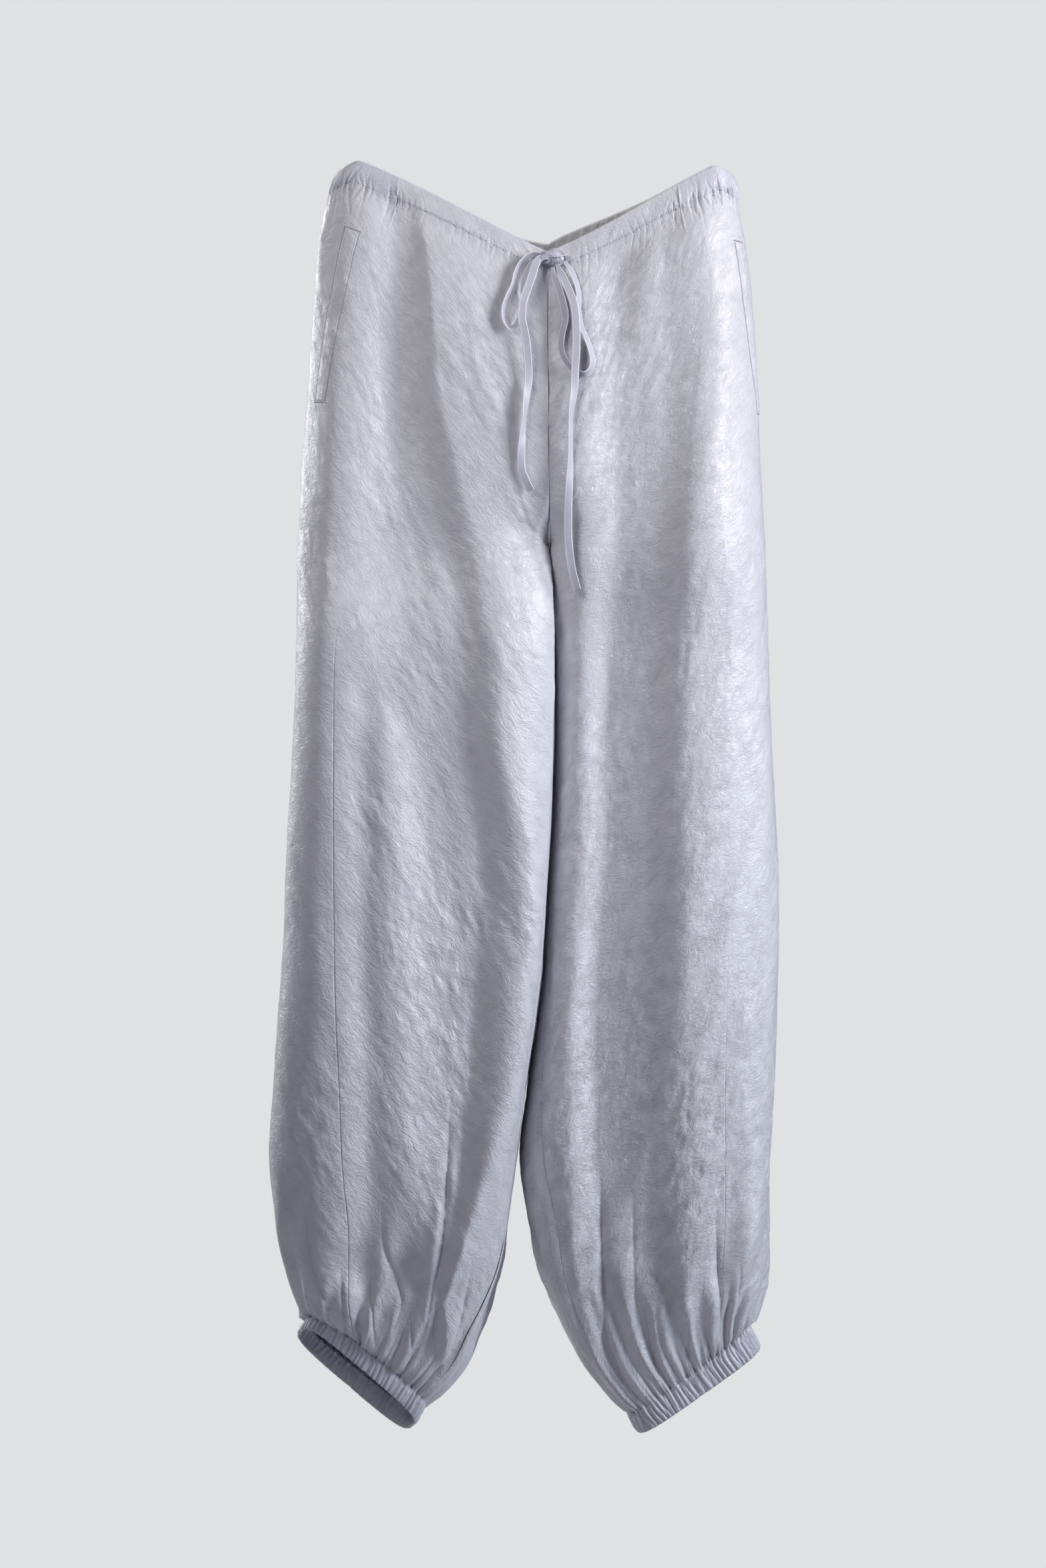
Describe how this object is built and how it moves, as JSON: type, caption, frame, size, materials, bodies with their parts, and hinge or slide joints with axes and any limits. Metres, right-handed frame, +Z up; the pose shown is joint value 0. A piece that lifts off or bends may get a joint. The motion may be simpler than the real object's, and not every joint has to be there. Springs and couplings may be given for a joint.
{
  "type": "balloon pants",
  "caption": "Long balloon pants of thin crinkled satin with a drawstring waist, slanted side pockets and gathered elastic cuffs, hanging by the side points of the waistband.",
  "frame": {"origin": "midway between the two upper side points of the waistband, where the garment is held", "axes": "+Z up, the garment hangs down from it; the front faces -Y; the wearer's left side is at +X"},
  "size_m": [0.4383, 0.1477, 1.1031],
  "materials": {
    "satin": "crinkled satin, pale silvery lavender with a soft sheen",
    "gathered_satin": "the same satin gathered over elastic",
    "drawstring_tape": "narrow satin tape with bright edges"
  },
  "bodies": {
    "root": {"front_panel_right": "satin", "front_panel_left": "satin", "side_panel_right": "satin", "side_panel_left": "satin", "back_panel_right": "satin", "back_panel_left": "satin", "waistband_front": "satin", "waistband_elastic": "gathered_satin", "pocket_welt_right": "satin", "pocket_welt_left": "satin", "cuff_right": "gathered_satin", "cuff_left": "gathered_satin", "drawstring_knot": "drawstring_tape", "drawstring_loop_right": "drawstring_tape", "drawstring_loop_left": "drawstring_tape", "drawstring_end_right": "drawstring_tape", "drawstring_end_left": "drawstring_tape"}
  },
  "joints": []
}
